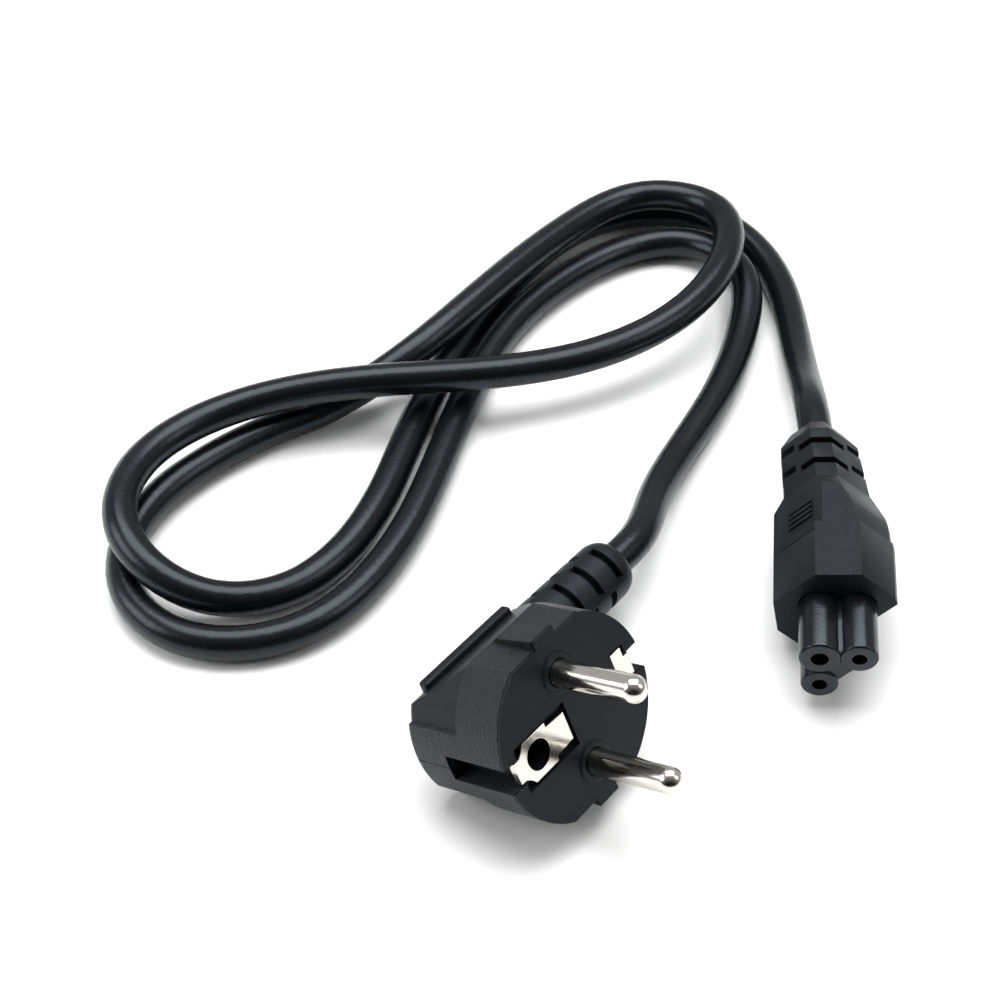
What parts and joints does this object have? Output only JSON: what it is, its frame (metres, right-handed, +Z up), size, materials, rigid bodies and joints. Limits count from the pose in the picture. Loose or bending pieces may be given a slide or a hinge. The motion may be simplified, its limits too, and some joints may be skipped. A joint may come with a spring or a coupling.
{
  "type": "power cord",
  "caption": "Mains power cord with a round earthed angled plug, a round flexible cord lying in loose loops and a cloverleaf connector.",
  "frame": {"origin": "on the floor, under the middle of the box round the plug and the connector", "axes": "+Z up from the floor; the connector's nose points to about -Y and the cord's loops lie towards +Y"},
  "size_m": [0.1483, 0.1785, 0.0383],
  "materials": {
    "overmould": "fine matt moulded grain",
    "face": "satin moulded",
    "nose": "glossy hard moulding",
    "cord": "satin extruded sheath",
    "nickel": "bright nickel plate"
  },
  "bodies": {
    "root": {"plug_body": "overmould", "plug_face": "face", "pin_left": "nickel", "pin_right": "nickel", "earth_plate": "nickel", "earth_clip": "nickel", "cord": "cord", "connector_body": "overmould", "connector_nose": "nose", "contact_earth": "nickel", "contact_left": "nickel", "contact_right": "nickel"}
  },
  "joints": []
}
